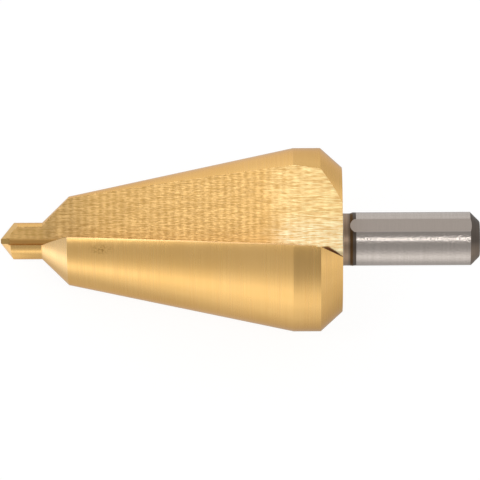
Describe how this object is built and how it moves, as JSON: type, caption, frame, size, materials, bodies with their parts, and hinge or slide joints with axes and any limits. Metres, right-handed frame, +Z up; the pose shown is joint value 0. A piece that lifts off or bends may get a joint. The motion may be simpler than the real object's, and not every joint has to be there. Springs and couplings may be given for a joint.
{
  "type": "cone drill bit",
  "caption": "Two-flute cone drill with a split-point pilot, a lead cone, a long gold-coated main cone and a round steel shank with flats, for opening holes in sheet metal and tube.",
  "frame": {"origin": "on the surface that the drill lies on, below the middle of its length and width", "axes": "+Z up, +X from the point towards the shank as the drill lies, so that the drill's own axis rises from -X to +X"},
  "size_m": [0.0788, 0.0306, 0.0277],
  "materials": {
    "coated_steel": "gold titanium nitride coat on ground lands and milled flutes, bare ground steel on the shank"
  },
  "bodies": {
    "root": {"cone_drill": "coated_steel"}
  },
  "joints": []
}
